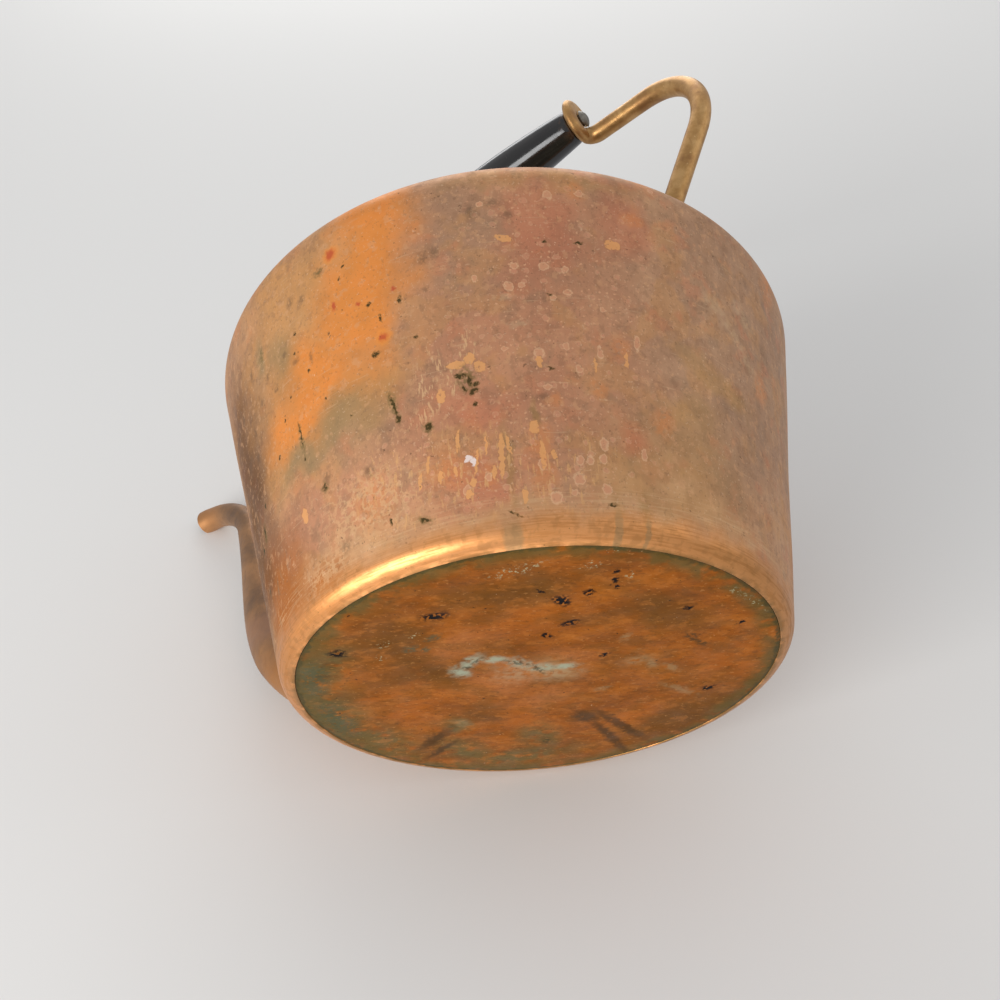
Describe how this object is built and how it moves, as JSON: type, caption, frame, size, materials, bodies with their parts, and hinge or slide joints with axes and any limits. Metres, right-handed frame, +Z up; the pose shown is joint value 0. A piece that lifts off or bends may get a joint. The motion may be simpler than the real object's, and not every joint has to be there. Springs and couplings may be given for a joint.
{
  "type": "tea kettle",
  "caption": "Copper tea kettle with a tapered drum, gooseneck spout, swinging brass bail with a black barrel grip, and a lift-off brass cap lid.",
  "frame": {"origin": "centre of the flat base, on the plane that the kettle stands on", "axes": "+Z up along the drum's axis; the spout points along -X; the bail stands in the XZ plane and swings about an axis along X"},
  "size_m": [0.3232, 0.2292, 0.2717],
  "materials": {
    "body_copper": "spun copper, brown and pink patina with an orange patch, drip spots and a worn golden foot",
    "base_copper": "fire-darkened copper, rust orange with green and black corrosion",
    "spout_copper": "copper with a grey-brown patina, orange near its root",
    "aged_brass": "drawn and cast brass, satin with brown tarnish",
    "lid_brass": "spun brass, olive-grey tarnish with a bright worn edge",
    "black_lacquer": "turned hardwood, glossy black lacquer",
    "dull_steel": "dull grey steel with peened ends"
  },
  "bodies": {
    "kettle_body": {"body_wall": "body_copper", "base_plate": "base_copper", "shoulder_dome": "body_copper", "neck_ring": "body_copper", "spout": "spout_copper", "front_lug": "aged_brass", "rear_lug": "aged_brass", "front_lug_rivet_1": "aged_brass", "front_lug_rivet_2": "aged_brass", "rear_lug_rivet_1": "aged_brass", "rear_lug_rivet_2": "aged_brass"},
    "bail": {"front_arm": "aged_brass", "rear_arm": "aged_brass", "grip_spindle": "dull_steel"},
    "turning_grip": {"grip": "black_lacquer"},
    "lid": {"lid_cap": "lid_brass", "lid_knob": "aged_brass", "knob_washer": "aged_brass"}
  },
  "joints": [
    {"name": "bail_swing", "type": "hinge", "parent": "kettle_body", "child": "bail", "pos_m": [0, 0, 0.1633], "axis": [1, 0, 0], "range_deg": [-94, 94]},
    {"name": "grip_turn", "type": "hinge", "parent": "bail", "child": "turning_grip", "pos_m": [0, 0, 0.2605], "axis": [1, 0, 0], "continuous": true},
    {"name": "lid_lift", "type": "slide", "parent": "kettle_body", "child": "lid", "axis": [0, 0, 1], "range_m": [0, 0.045]}
  ]
}
